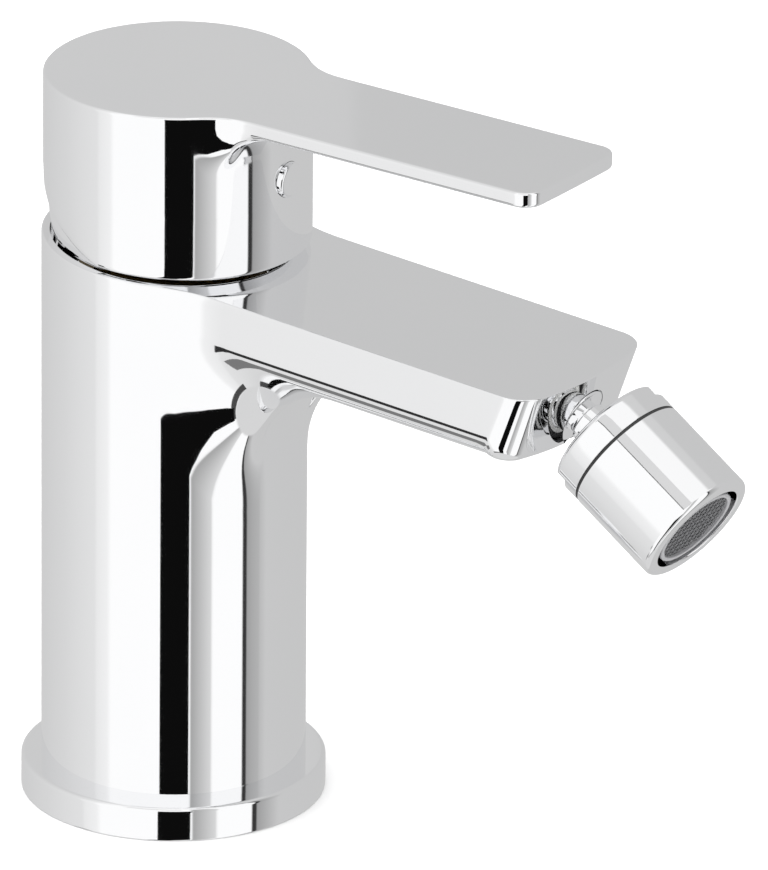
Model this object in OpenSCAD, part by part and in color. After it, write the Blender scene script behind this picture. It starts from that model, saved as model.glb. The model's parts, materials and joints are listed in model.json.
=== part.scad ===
// Single-lever bidet mixer: an upright body with a flat spout, a lever handle over a ceramic
// cartridge, and a swivelling nozzle on a ball joint. Millimetres, +Z up, origin on the deck at the
// centre of the foot, spout and lever along +X.

/* [Body] */
// Diameter of the upright barrel
body_d = 45; // [43:0.5:50]
// Height of the top face on the barrel's axis, above the deck
top_h = 100.3; // [96:0.1:112]
// Slope of the top face, down towards the front, in degrees
top_slope = 3.37; // [2:0.01:5]
// Width of the body's rim around the handle
rim_w = 1.4; // [1:0.1:1.8]
// Depth of the recess that the back of the handle dips into
recess_depth = 6; // [5.6:0.1:7]
// Wall of the hollow foot of the body
foot_wall = 3; // [2:0.1:4]
// Height of the hollow foot above the deck
foot_h = 40; // [30:1:44]

/* [Foot ring] */
// Outer diameter of the foot ring
base_d = 51.8; // [50:0.1:60]
// Height of the foot ring
base_h = 6; // [4.5:0.1:10]
// Diameter of the hole through the ring, that of the deck's tap hole
base_hole_d = 35; // [30:0.5:38]
// Bevel of the ring's upper edge
base_bevel = 0.5; // [0.2:0.1:1]
// Thickness of the rubber ring under the foot
base_seal_t = 1.4; // [1:0.1:1.8]
// Radial width of the rubber ring
base_seal_w = 2.6; // [2:0.1:3]

/* [Water ways] */
// Tapping diameter of a hose inlet, for an M10x1 thread
inlet_d = 9; // [8:0.1:10]
// Depth of a hose inlet's thread
inlet_depth = 12; // [9:0.5:14]
// Distance between the two hose inlets
inlet_spacing = 16; // [14:0.5:20]
// Tapping diameter of the fixing stud's hole, for an M8 thread
stud_d = 6.8; // [5:0.1:7]
// Depth of the fixing stud's hole
stud_depth = 14; // [8:0.5:18]
// Distance of the stud's hole behind the barrel's axis
stud_back = 10; // [8:0.5:12]
// Diameter of the channel along the spout
channel_d = 6; // [4:0.1:6.4]
// Diameter of the bore that leads from the cartridge chamber up to the channel
riser_d = 4.8; // [3.6:0.1:5]

/* [Spout] */
// Reach of the spout's upper front edge from the barrel's axis
spout_reach = 85.6; // [75:0.1:110]
// Width of the spout
spout_w = 35.4; // [32:0.1:38]
// Thickness of the spout
spout_t = 13; // [12.5:0.1:16]
// Rounding of the spout's lower edges
spout_edge_r = 5; // [3:0.1:6]
// Rounding of the spout's front corners, seen from above
spout_corner_r = 5.5; // [4:0.1:8]
// Radius of the bowed front edge
spout_bow_r = 65; // [50:1:120]
// Lean of the front face under its upper edge, in degrees from upright
undercut = 22; // [18:0.5:26]
// Rounding between the front face and the underside
chin_r = 4; // [2:0.1:5]
// Fillet between the underside and the barrel
root_fillet = 24; // [2:0.5:26]
// Fillet between the sides and the barrel
flank_fillet = 24; // [4:0.5:28]

/* [Handle] */
// How far the handle's cup stands out past the barrel, all round
handle_over = 0.2; // [0:0.05:0.5]
// Height of the handle's flat top above the deck
handle_top = 130.2; // [126:0.1:140]
// Distance of the cup's axis in front of the barrel's axis
handle_forward = 0.6; // [0.2:0.1:0.9]
// Gap between the cup's lower edge and the body's top face
handle_gap = 0.25; // [0.2:0.05:0.6]
// Wall of the cup at its lower edge
cup_wall = 2; // [1.5:0.1:2.5]
// Height of the cup's hollow above the body's top face
cup_hollow = 25; // [23:0.1:25.5]
// Height of the cup's lower edge at the back, above the body's top face
back_edge = 1.8; // [1.7:0.1:4]
// Reach of the lever's tip from the barrel's axis
lever_reach = 81.5; // [65:0.1:110]
// Width of the lever
lever_w = 26.2; // [20:0.1:30]
// Thickness of the lever
lever_t = 2.8; // [2:0.1:4]
// Rounding of the lever's front corners
lever_corner_r = 3.5; // [2:0.1:8]
// Fillet where the lever runs into the cup
lever_root_r = 10; // [6:0.5:14]
// How far the lever lifts, in degrees
lift_max = 20; // [12:1:20]
// Height of the lift axis above the body's top face
pivot_up = 8; // [7.5:0.1:9]

/* [Handle screw] */
// Height of the screw and its plug above the body's top face
screw_up = 16.6; // [16.6:0.1:19]
// Diameter of the grub screw
screw_d = 5; // [4:0.1:5]
// Length of the grub screw
screw_l = 8; // [6:0.5:10]
// Diameter of the index button
button_d = 6.2; // [5.6:0.1:7]
// How far the index button stands out
button_proud = 1; // [0.4:0.1:1.5]

/* [Cartridge] */
// Diameter of the cartridge
cart_d = 28; // [27:0.1:29]
// Wall of the cartridge housing
cart_wall = 1.4; // [1:0.1:1.6]
// Diameter of the housing's neck
neck_d = 22; // [21.5:0.1:22.4]
// Height of the neck above the body's top face
neck_up = 9; // [8:0.1:9.4]
// Diameter of the nut's thread
nut_d = 31.6; // [31.2:0.1:33]
// Length of the nut's thread
nut_thread = 3; // [3:0.1:4]
// Size of the nut's hexagon across its flats
nut_flats = 25.5; // [25:0.1:25.8]
// Height of the nut's hexagon
nut_hex_h = 5.5; // [4:0.1:6]
// Width of the lever stem across the lift axis
stem_w = 7.6; // [7:0.1:8]
// Depth of the lever stem along the lever
stem_d = 8; // [7:0.1:8.4]
// Height of the stem's end above the body's top face
stem_up = 21; // [20:0.1:22]
// Diameter of the pivot pin
pin_d = 3; // [2.5:0.1:3.4]
// Length of the stem's lower arm, from the pin to the ball end
stem_arm = 11; // [10:0.1:12]
// Diameter of the stem's ball end
ball_end_d = 4.8; // [4:0.1:5]
// Thickness of the disc carrier's plate
carrier_t = 4.6; // [4:0.1:6]
// Thickness of the moving disc
moving_disc_t = 3; // [2.5:0.1:4]
// Diameter of the moving disc and its carrier
moving_disc_d = 19; // [18:0.1:20]
// Thickness of the fixed disc
fixed_disc_t = 3.4; // [3:0.1:4]
// Thickness of the cartridge base's flange
cart_base_t = 2.6; // [2.2:0.1:3.4]
// Diameter of a water port in the discs and the base
port_d = 4; // [3:0.1:4.2]

/* [Nozzle] */
// Depth of the nipple's foot below the spout's top face
nipple_drop = 7.9; // [7.5:0.1:8.2]
// Distance from the nipple's seat to the ball's centre
ball_out = 11.6; // [11.2:0.1:13]
// How far the nipple points below level, in degrees
nipple_pitch = 27; // [24:0.5:28]
// Diameter of the ball
ball_d = 11; // [10.6:0.1:11]
// Diameter of the nipple's neck
nipple_neck_d = 7; // [6:0.1:7.2]
// Diameter of the groove between the flange and the neck
nipple_groove_d = 6; // [5:0.1:6]
// Diameter of the nipple's flange
nipple_flange_d = 10.2; // [9:0.1:10.4]
// Thickness of the nipple's flange
nipple_flange_t = 1.2; // [0.8:0.1:1.4]
// Diameter of the nipple's threaded shank
nipple_shank_d = 8; // [7:0.1:8.4]
// Length of the threaded shank
nipple_shank_l = 8; // [6:0.1:9]
// Bore through the nipple
nipple_bore_d = 3.6; // [2.5:0.1:4]
// Thickness of the washer under the flange
nipple_washer_t = 0.5; // [0.4:0.1:0.8]
// How far the nozzle points below level, in degrees
nozzle_pitch = 31.7; // [20:0.1:40]
// How far the nozzle points to the side, in degrees
nozzle_turn = -4.2; // [-10:0.1:10]
// Outer diameter of the nozzle
nozzle_d = 22.1; // [21.5:0.1:25]
// Diameter of the cap's flat top
cap_top_d = 20.9; // [19:0.1:21]
// Length of the cap from its flat top to the dark ring
cap_l = 5.9; // [5.5:0.1:6.4]
// Length of the cap's bevel
cap_bevel_l = 0.6; // [0.4:0.1:2]
// Distance between the cap's two spanner flats
cap_flats = 20.7; // [20:0.1:21]
// Length of the spanner flats below the cap's flat top
cap_flat_l = 3.2; // [2:0.1:4]
// Thickness of the dark ring
dark_ring_t = 0.5; // [0.3:0.05:1]
// Length of the nozzle from its flat top to its outlet
nozzle_l = 24.1; // [23:0.1:30]
// Inner diameter of the outlet's lip
outlet_d = 17.4; // [17.2:0.1:17.8]
// Diameter of the aerator insert at the outlet
insert_d = 15.5; // [15:0.1:15.7]
// Diameter of the outlet's mesh
screen_d = 13.9; // [13:0.1:14]
// Distance between the bars of the mesh
screen_pitch = 1.2; // [1:0.1:2]
// Width of a bar of the mesh
screen_bar = 0.35; // [0.3:0.05:0.5]

/* [Hidden] */
$fn = 96;
// Overshoot of a cut past a face
cut = 1;
// Edge of a block that takes away all above a face
beyond = 200;
// Clearance between pieces that are put together and stay
fit = 0.05;
// Running clearance of a round piece that turns in another
run = 0.08;
// Gap between pieces that pass each other
pass = 0.3;
// How far a rounding runs over the faces that it joins
tangent_lap = 0.01;

// Body
body_r = body_d / 2;
foot_r = body_r - foot_wall;
base_r = base_d / 2;
seal_mid = (base_r + base_hole_d / 2) / 2;
open_r = body_r - rim_w;
nut_r = nut_d / 2;
cart_r = cart_d / 2;

// Levels of the cartridge, from the body's top face down
shoulder_z = -recess_depth - nut_thread;
lid_t = 1.6;
lid_z = shoulder_z - lid_t;
rotor_flange_t = 1.2;
rotor_flange_z = lid_z - pass - rotor_flange_t;
carrier_top_z = rotor_flange_z - pass;
carrier_z = carrier_top_z - carrier_t;
moving_disc_z = carrier_z - moving_disc_t;
disc_top_z = moving_disc_z - fit;
fixed_disc_z = disc_top_z - fixed_disc_t;
spigot_l = 1.5;
housing_z = fixed_disc_z - spigot_l;
cart_base_z = housing_z - cart_base_t;
seal_squeeze = 0.4;
floor_z = cart_base_z - seal_squeeze;

// Round sizes of the cartridge
housing_in_r = cart_r - cart_wall;
neck_r = neck_d / 2;
neck_wall = 1.8;
neck_in_r = neck_r - neck_wall;
rotor_r = neck_in_r - run;
rotor_up = pivot_up + 2.6;
slot_y = stem_w / 2 + 0.1;
o_ring_w = 1.1;
o_ring_h = 1.5;
o_ring_z = shoulder_z - lid_t - o_ring_h;
chamber_step_z = o_ring_z - 0.8;
chamber_r = cart_r + 1.8;
water_seal_w = 1.4;
water_seal_h = 1.2;

// Disc travel: the stem's arm leans back by half of the lift at rest
arm_lean = lift_max / 2;
arm_swing = stem_arm * sin(arm_lean);
slot_x = arm_swing + stem_d / 2;
tower_x = slot_x - arm_swing - 0.1;
tower_up = 2.2;
ball_end_z = pivot_up - stem_arm * cos(arm_lean);
inlet_port = [3.2, 5.4];
outlet_port_x = -3.2;
outlet_port_r = 3;
pocket_r = 4;
pocket_x = 0.3;
pocket_depth = 1.6;

// Handle
cup_r = body_r + handle_over;
skirt_r = open_r - 0.25;
cup_in_r = skirt_r - cup_wall;
chamfer_h = 2.2;
// The lower back of the cup is round about the lift axis and passes the rim's edge
relief_r = sqrt(pow(open_r, 2) + pow(pivot_up, 2)) - pass;
wide_r = cup_r + 2;
stem_boss_y = 7.5;
stem_boss_back = stem_d / 2 + 2.5;
stem_boss_z = 14;
button_seat = cup_in_r + 1.5;
button_spigot_l = 3;

// Spout
slope_tan = tan(top_slope);
spout_l = spout_reach / cos(top_slope);
spout_half = spout_w / 2;
face_lean = undercut - top_slope;
corner_lean = face_lean - 2;
channel_z = -spout_t / 2;
riser_x = spout_reach * 0.3;
foot_x = spout_l - nipple_drop * tan(face_lean);
nipple_foot = [
    foot_x * cos(top_slope) - nipple_drop * sin(top_slope),
    top_h - foot_x * sin(top_slope) - nipple_drop * cos(top_slope)
];
seat_depth = 0.9;
seat_pass = 0.2;
groove_l = 1;
ball_reach = ball_out - seat_depth;
ball_at = [
    nipple_foot[0] + ball_reach * cos(nipple_pitch),
    nipple_foot[1] - ball_reach * sin(nipple_pitch)
];

// Ball joint: liner, gasket and seat are round about the ball's centre
ball_r = ball_d / 2;
liner_in_r = ball_r + fit;
liner_r = liner_in_r + 0.6;
gasket_in_r = liner_r + fit;
gasket_r = gasket_in_r + 0.7;
seat_r = gasket_r + fit;
liner_half = 4;
gasket_half = 3.6;
tilt_max = 20;

// Nozzle, from the ball's centre towards the outlet
nozzle_r = nozzle_d / 2;
cap_top_z = -cap_l;
cap_spigot_l = 6;
cap_spigot_r = nozzle_r - 1.9;
neck_half = nipple_neck_d / 2;
cap_open_r = -cap_top_z * tan(tilt_max) + neck_half / cos(tilt_max) + 0.2;
outlet_z = nozzle_l - cap_l;
cap_flat_turn = 49;
ledge_t = 1;
gasket_t = 1.4;
insert_flange_t = 1.6;
insert_top_z = cap_spigot_l + gasket_t;
ledge_z = insert_top_z + insert_flange_t;
insert_end_z = outlet_z - 0.4;
insert_r = insert_d / 2;
insert_flange_r = cap_spigot_r - fit;
screen_r = screen_d / 2;
screen_t = 0.5;
screen_z = insert_end_z - 0.3 - screen_t;
insert_in_r = 6;
diffuser_z = ledge_z + 2;
diffuser_t = 2;
diffuser_hole_r = 0.5;
diffuser_rings = [[2.2, 6], [4.4, 12]];

// A round plate between two levels
module disc(r, low, high) {
    translate([0, 0, low]) cylinder(r = r, h = high - low);
}

// A round plate with a hole through it
module ring(outer, inner, low, high) {
    difference() {
        disc(outer, low, high);
        disc(inner, low - cut, high + cut);
    }
}

// A round bar along X at a height
module bar_x(r, from, to, up) {
    translate([from, 0, up]) rotate([0, 90, 0]) cylinder(r = r, h = to - from);
}

// A round bar along Y, centred, at a height
module bar_y(r, length, up) {
    translate([0, 0, up]) rotate([90, 0, 0]) cylinder(r = r, h = length, center = true);
}

// A round bar between two points
module bar_between(r, a, b) {
    d = b - a;
    translate(a)
        rotate([0, acos(d[2] / norm(d)), atan2(d[1], d[0])])
            cylinder(r = r, h = norm(d));
}

// The sloped top face: origin on the barrel's axis, X along the spout, Z along the cartridge's axis
module on_top() {
    translate([0, 0, top_h]) rotate([0, top_slope, 0]) children();
}

// A point given on the sloped top face, in the part's own frame
function from_top(p) = [
    p[0] * cos(top_slope) + p[2] * sin(top_slope),
    p[1],
    top_h - p[0] * sin(top_slope) + p[2] * cos(top_slope)
];

// The nipple's axis: origin on the spout's front face, Z outwards
module on_nipple() {
    translate([nipple_foot[0], 0, nipple_foot[1]]) rotate([0, 90 + nipple_pitch, 0])
        translate([0, 0, -seat_depth]) children();
}

// The nozzle's axis: origin at the ball's centre, Z towards the outlet
module on_nozzle() {
    translate([ball_at[0], 0, ball_at[1]]) rotate([0, 90 + nozzle_pitch, nozzle_turn]) children();
}

// Outline of the spout seen along its front face: bowed front edge and round corners
module spout_outline() {
    half = spout_half + tangent_lap;
    corner_y = half - spout_corner_r;
    corner_x = sqrt(pow(spout_bow_r - spout_corner_r, 2) - pow(corner_y, 2)) - spout_bow_r;
    translate([-spout_l - cut, -half]) square([spout_l + cut + corner_x, 2 * half]);
    for (side = [-1, 1]) translate([corner_x, side * corner_y]) circle(r = spout_corner_r);
    intersection() {
        translate([-spout_bow_r, 0]) circle(r = spout_bow_r);
        polygon([
            [-spout_bow_r, 0],
            [2 * corner_x + spout_bow_r, -2 * corner_y],
            [2 * corner_x + spout_bow_r, 2 * corner_y]
        ]);
    }
}

// Section of the spout across its length: flat sides, round lower edges
module spout_section() {
    translate([-spout_half, -spout_t + spout_edge_r]) square([spout_w, spout_t - spout_edge_r + cut]);
    translate([-spout_half + spout_edge_r, -spout_t])
        square([spout_w - 2 * spout_edge_r, spout_t]);
    for (side = [-1, 1])
        translate([side * (spout_half - spout_edge_r), -spout_t + spout_edge_r])
            circle(r = spout_edge_r);
}

// Side view of the spout from the bow's axis: leaning front face, round chin
module spout_profile() {
    low = -spout_t - tangent_lap;
    lean = [sin(face_lean), cos(face_lean)];
    chin = [spout_bow_r + low * tan(face_lean), low];
    run_in = chin_r / tan((90 + face_lean) / 2);
    middle = chin + [-run_in, chin_r];
    difference() {
        polygon([[0, 2 * cut], [spout_bow_r + 2 * cut * tan(face_lean), 2 * cut], chin, [0, low]]);
        difference() {
            polygon([chin + run_in * lean, 2 * chin - middle, chin - [run_in, 0]]);
            translate(middle) circle(r = chin_r + tangent_lap);
        }
    }
}

module spout_bar() {
    intersection() {
        translate([spout_l + tangent_lap, 0, 0]) rotate([0, corner_lean, 0])
            translate([0, 0, -spout_l]) linear_extrude(2 * spout_l) spout_outline();
        rotate([90, 0, 90]) linear_extrude(spout_l + cut) spout_section();
        translate([spout_l - spout_bow_r, 0, 0]) rotate_extrude() spout_profile();
    }
}

// Corners between the barrel and the spout's sides, filled to a hollow round
module spout_flanks() {
    fillet_y = spout_half + flank_fillet;
    reach = body_r + flank_fillet;
    fillet_x = sqrt(reach * reach - fillet_y * fillet_y);
    touch = body_r / reach;
    low = top_h - spout_t;
    for (side = [-1, 1]) translate([0, 0, low + spout_edge_r / 2])
        linear_extrude(spout_t) difference() {
            polygon([
                [fillet_x * touch, side * fillet_y * touch],
                [fillet_x, side * fillet_y],
                [fillet_x, side * (spout_half - cut)],
                [body_r / 2, side * (spout_half - cut)]
            ]);
            translate([fillet_x, side * fillet_y]) circle(r = flank_fillet + tangent_lap);
        }
}

// Hollow of the fillet under the spout, as a ring around the barrel
module spout_fillet() {
    reach = body_r + root_fillet;
    low = top_h - (spout_t + root_fillet) / cos(top_slope) - reach * slope_tan;
    flat_half = spout_half - spout_edge_r - cut;
    into_spout = 2;
    intersection() {
        rotate_extrude() difference() {
            translate([body_r - cut, low]) square([root_fillet + cut, root_fillet + into_spout]);
            translate([reach, low]) circle(r = root_fillet);
        }
        translate([0, -flat_half, 0]) cube([reach, 2 * flat_half, top_h]);
    }
}

// Space for the handle's edge, the nut and the cartridge, in the top face's frame
module cartridge_space() {
    disc(open_r, -recess_depth, cut);
    disc(nut_r + fit, shoulder_z, -recess_depth + cut);
    disc(cart_r + fit, chamber_step_z, shoulder_z + cut);
    disc(chamber_r, floor_z, chamber_step_z + cut);
}

// The two ways from the hose inlets up to the cartridge's floor
module inlet_ways() {
    thread_top = foot_h + inlet_depth;
    for (side = [-1, 1]) {
        port = from_top([inlet_port[0], side * inlet_port[1], floor_z + cut]);
        foot = [from_top([inlet_port[0], 0, floor_z])[0], side * inlet_spacing / 2, foot_h];
        translate(foot + [0, 0, -cut]) cylinder(d = inlet_d, h = inlet_depth + cut);
        bar_between(port_d / 2, [foot[0], foot[1], thread_top - cut], port);
    }
}

// The way from the cartridge chamber up into the spout and along it to the nipple
module outlet_way() {
    bar_between(riser_d / 2, [chamber_r - 2 * cut, 0, chamber_step_z - riser_d], [riser_x, 0, channel_z]);
    bar_x(channel_d / 2, riser_x - cut, nipple_foot[0] - nipple_shank_l * cos(nipple_pitch), channel_z);
}

module mixer_body() {
    color("silver") difference() {
        union() {
            disc(body_r, base_h, top_h + body_r);
            on_top() spout_bar();
            spout_flanks();
            spout_fillet();
        }
        on_top() translate([-beyond / 2, -beyond / 2, 0]) cube(beyond);
        on_top() cartridge_space();
        disc(foot_r, base_h - cut, foot_h);
        inlet_ways();
        translate([-stud_back, 0, foot_h - cut]) cylinder(d = stud_d, h = stud_depth + cut);
        on_top() outlet_way();
        on_nipple() {
            disc(nipple_shank_d / 2 + fit, -nipple_shank_l - cut, cut);
            disc(nipple_flange_d / 2 + seat_pass, 0, spout_t);
        }
    }
}

module base_ring() {
    color("silver") difference() {
        union() {
            disc(base_r, 0, base_h - base_bevel);
            translate([0, 0, base_h - base_bevel])
                cylinder(r1 = base_r, r2 = base_r - base_bevel, h = base_bevel);
        }
        disc(base_hole_d / 2, -cut, base_h + cut);
        ring(seal_mid + base_seal_w / 2 + fit, seal_mid - base_seal_w / 2 - fit, -cut, base_seal_t);
    }
}

module base_seal() {
    color("black") ring(seal_mid + base_seal_w / 2, seal_mid - base_seal_w / 2, 0, base_seal_t);
}

// Water ports through the discs and the base
module ports(low, high) {
    for (side = [-1, 1])
        translate([inlet_port[0], side * inlet_port[1], 0]) disc(port_d / 2, low - cut, high + cut);
    translate([outlet_port_x, 0, 0]) disc(outlet_port_r, low - cut, high + cut);
}

module cartridge_housing() {
    color("gainsboro") on_top() difference() {
        union() {
            disc(cart_r, housing_z, shoulder_z);
            disc(neck_r, shoulder_z, neck_up);
        }
        disc(housing_in_r, housing_z - cut, lid_z);
        disc(neck_in_r, lid_z - cut, neck_up + cut);
        ring(cart_r + cut, cart_r - o_ring_w, o_ring_z, o_ring_z + o_ring_h);
    }
}

module cartridge_base() {
    color("dimgray") on_top() difference() {
        union() {
            disc(cart_r, cart_base_z, housing_z);
            disc(housing_in_r - fit, housing_z, fixed_disc_z);
        }
        ports(cart_base_z, fixed_disc_z);
        for (side = [-1, 1])
            translate([inlet_port[0], side * inlet_port[1], 0])
                disc(port_d / 2 + water_seal_w + fit, cart_base_z - cut,
                    floor_z + water_seal_h);
        translate([-cart_r - cut, -outlet_port_r, cart_base_z - cut])
            cube([cart_r + cut + outlet_port_x, 2 * outlet_port_r, cut + cart_base_t / 2]);
    }
}

module cartridge_seals() {
    color("black") on_top()
        for (side = [-1, 1])
            translate([inlet_port[0], side * inlet_port[1], 0])
                ring(port_d / 2 + water_seal_w, port_d / 2, floor_z, floor_z + water_seal_h);
}

module cartridge_o_ring() {
    color("black") on_top()
        ring(cart_r, cart_r - o_ring_w + fit, o_ring_z + fit, o_ring_z + o_ring_h - fit);
}

module fixed_disc() {
    color("white") on_top() difference() {
        disc(housing_in_r - fit, fixed_disc_z, disc_top_z);
        ports(fixed_disc_z, disc_top_z);
    }
}

module cartridge_nut() {
    hex_r = nut_flats / 2 / cos(30);
    color("goldenrod") on_top() difference() {
        union() {
            disc(nut_r, shoulder_z, -recess_depth);
            translate([0, 0, -recess_depth]) cylinder(r = hex_r, h = nut_hex_h, $fn = 6);
        }
        disc(neck_r + pass, shoulder_z - cut, nut_hex_h);
    }
}

module cartridge_rotor() {
    color("whitesmoke") on_top() difference() {
        union() {
            disc(rotor_r, rotor_flange_z, rotor_up);
            disc(housing_in_r - pass, rotor_flange_z, rotor_flange_z + rotor_flange_t);
        }
        translate([-slot_x, -slot_y, rotor_flange_z - cut])
            cube([2 * slot_x, 2 * slot_y, rotor_up - rotor_flange_z + 2 * cut]);
        bar_y(pin_d / 2 + fit / 2, neck_d, pivot_up);
    }
}

module pivot_pin() {
    color("gray") on_top() intersection() {
        bar_y(pin_d / 2, neck_d, pivot_up);
        disc(rotor_r - fit, shoulder_z, rotor_up);
    }
}

module lever_stem() {
    eye_r = pin_d / 2 + 2.4;
    arm_r = ball_end_d / 2 - 0.7;
    color("gray") on_top() difference() {
        union() {
            translate([-stem_d / 2, -stem_w / 2, pivot_up]) cube([stem_d, stem_w, stem_up - pivot_up]);
            bar_y(eye_r, stem_w, pivot_up);
            translate([0, 0, pivot_up]) rotate([0, 180 + arm_lean, 0]) {
                cylinder(r = arm_r, h = stem_arm);
                translate([0, 0, stem_arm]) sphere(d = ball_end_d);
            }
        }
        bar_y(pin_d / 2 + run / 2, 2 * stem_w, pivot_up);
    }
}

// Outline of the lever from above, with its fillets into the round cup
module lever_outline() {
    half = lever_w / 2;
    tip_x = lever_reach - lever_corner_r;
    fillet_y = half + lever_root_r;
    reach = cup_r + lever_root_r;
    fillet_x = sqrt(reach * reach - fillet_y * fillet_y);
    touch = cup_r / reach;
    translate([handle_forward, 0]) {
        circle(r = cup_r);
        for (side = [-1, 1]) difference() {
            polygon([
                [0, 0],
                [fillet_x * touch, side * fillet_y * touch],
                [fillet_x, side * fillet_y],
                [fillet_x, 0]
            ]);
            translate([fillet_x, side * fillet_y]) circle(r = lever_root_r);
        }
    }
    translate([0, -half]) square([tip_x, lever_w]);
    translate([0, -half + lever_corner_r]) square([lever_reach, lever_w - 2 * lever_corner_r]);
    for (side = [-1, 1]) translate([tip_x, side * (half - lever_corner_r)]) circle(r = lever_corner_r);
}

// Limit of the cup below: an edge that is chamfered up from the rim's opening
module cup_front_limit() {
    rotate_extrude() polygon([
        [0, handle_gap],
        [skirt_r, handle_gap],
        [wide_r, handle_gap + chamfer_h],
        [wide_r, 2 * cup_hollow],
        [0, 2 * cup_hollow]
    ]);
}

// Limit of the cup's back below: round about the lift axis, so that it dips past the rim when lifted
module cup_back_limit() {
    rotate_extrude() {
        intersection() {
            translate([0, pivot_up]) circle(r = relief_r);
            translate([0, back_edge]) square([wide_r, pivot_up - back_edge]);
        }
        translate([0, pivot_up - cut]) square([relief_r - cut, cup_hollow]);
    }
}

// All that stays above the rim when the handle is lifted
module above_rim_lifted() {
    translate([0, 0, pivot_up]) rotate([0, lift_max, 0])
        translate([-beyond / 2, -beyond / 2, pass - pivot_up]) cube(beyond);
}

module handle() {
    color("silver") difference() {
        union() {
            intersection() {
                translate([handle_forward, 0, 0]) disc(cup_r, top_h - cup_r, handle_top);
                on_top() union() {
                    cup_back_limit();
                    intersection() {
                        cup_front_limit();
                        above_rim_lifted();
                    }
                }
            }
            translate([0, 0, handle_top - lever_t]) linear_extrude(lever_t) lever_outline();
        }
        on_top() difference() {
            disc(cup_in_r, -recess_depth, cup_hollow);
            translate([-stem_boss_back, -stem_boss_y, stem_boss_z])
                cube([stem_boss_back + cup_in_r + cut, 2 * stem_boss_y, cup_hollow]);
        }
        on_top() translate([-stem_d / 2 - fit, -stem_w / 2 - fit, stem_boss_z - cut])
            cube([stem_d + 2 * fit, stem_w + 2 * fit, stem_up - stem_boss_z + cut + pass]);
        on_top() bar_x(screw_d / 2 + fit, 0, button_seat + cut, screw_up);
        on_top() bar_x(button_d / 2 + fit, button_seat, 2 * cup_r, screw_up);
    }
}

module grub_screw() {
    color("dimgray") on_top() difference() {
        bar_x(screw_d / 2, stem_d / 2, stem_d / 2 + screw_l, screw_up);
        translate([stem_d / 2 + screw_l - screw_d / 2, 0, screw_up]) rotate([0, 90, 0])
            cylinder(d = screw_d / 2, h = screw_l, $fn = 6);
    }
}

// The front of the cup at the button's height, in the top face's frame
button_face = (handle_forward + cup_r - screw_up * sin(top_slope)) / cos(top_slope);

module index_button() {
    color("silver") on_top() {
        bar_x(button_d / 2, button_seat, button_face + button_proud, screw_up);
        bar_x(screw_d / 2 - fit, button_seat - button_spigot_l, button_seat + cut, screw_up);
    }
}

module disc_carrier() {
    color("slategray") on_top() translate([-arm_swing, 0, 0]) difference() {
        union() {
            disc(moving_disc_d / 2, carrier_z, carrier_top_z);
            translate([-tower_x, -stem_w / 2, carrier_top_z])
                cube([2 * tower_x, stem_w, ball_end_z + tower_up - carrier_top_z]);
        }
        disc(ball_end_d / 2 + run, ball_end_z - ball_end_d / 2 - 2 * pass, pivot_up);
    }
}

module moving_disc() {
    color("white") on_top() translate([-arm_swing, 0, 0]) difference() {
        disc(moving_disc_d / 2, moving_disc_z, carrier_z);
        translate([pocket_x, 0, 0]) disc(pocket_r, moving_disc_z - cut, moving_disc_z + pocket_depth);
    }
}

module swivel_nipple() {
    flange_z = nipple_washer_t;
    color("silver") on_nipple() difference() {
        union() {
            disc(nipple_shank_d / 2, -nipple_shank_l, flange_z);
            disc(nipple_flange_d / 2, flange_z, flange_z + nipple_flange_t);
            disc(nipple_groove_d / 2, flange_z, ball_out);
            disc(neck_half, flange_z + nipple_flange_t + groove_l, ball_out);
            translate([0, 0, ball_out]) sphere(r = ball_r);
        }
        disc(nipple_bore_d / 2, -nipple_shank_l - cut, ball_out + ball_d);
    }
}

module nipple_washer() {
    color("black") on_nipple()
        ring(nipple_flange_d / 2 - 0.3, nipple_shank_d / 2 + fit, 0, nipple_washer_t);
}

// A band of a hollow ball
module ball_band(outer, inner, half) {
    intersection() {
        difference() {
            sphere(r = outer);
            sphere(r = inner);
        }
        disc(outer + cut, -half, half);
    }
}

module ball_liner() {
    color("white") on_nipple() translate([0, 0, ball_out]) ball_band(liner_r, liner_in_r, liner_half);
}

module ball_gasket() {
    color("black") on_nozzle() ball_band(gasket_r, gasket_in_r, gasket_half);
}

module nozzle_cap() {
    color("silver") on_nozzle() difference() {
        union() {
            disc(nozzle_r, cap_top_z + cap_bevel_l, 0);
            translate([0, 0, cap_top_z])
                cylinder(r1 = cap_top_d / 2, r2 = nozzle_r, h = cap_bevel_l);
            disc(cap_spigot_r - fit, 0, cap_spigot_l);
        }
        sphere(r = seat_r);
        disc(seat_r, 0, cap_spigot_l + cut);
        disc(cap_open_r, cap_top_z - cut, 0);
        for (side = [-1, 1]) rotate([0, 0, cap_flat_turn + side * 90])
            translate([cap_flats / 2, -nozzle_r, cap_top_z - cut])
                cube([nozzle_r, nozzle_d, cap_flat_l + cut]);
    }
}

module nozzle_ring() {
    color("black") on_nozzle() ring(nozzle_r - 0.15, cap_spigot_r, 0, dark_ring_t);
}

module nozzle_sleeve() {
    lip_bevel = 0.7;
    color("silver") on_nozzle() difference() {
        union() {
            disc(nozzle_r, dark_ring_t, outlet_z - lip_bevel);
            translate([0, 0, outlet_z - lip_bevel])
                cylinder(r1 = nozzle_r, r2 = nozzle_r - lip_bevel, h = lip_bevel);
        }
        disc(cap_spigot_r, dark_ring_t - cut, ledge_z);
        disc(insert_r + pass, ledge_z - cut, ledge_z + ledge_t + cut);
        disc(outlet_d / 2, ledge_z + ledge_t, outlet_z + cut);
    }
}

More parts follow.
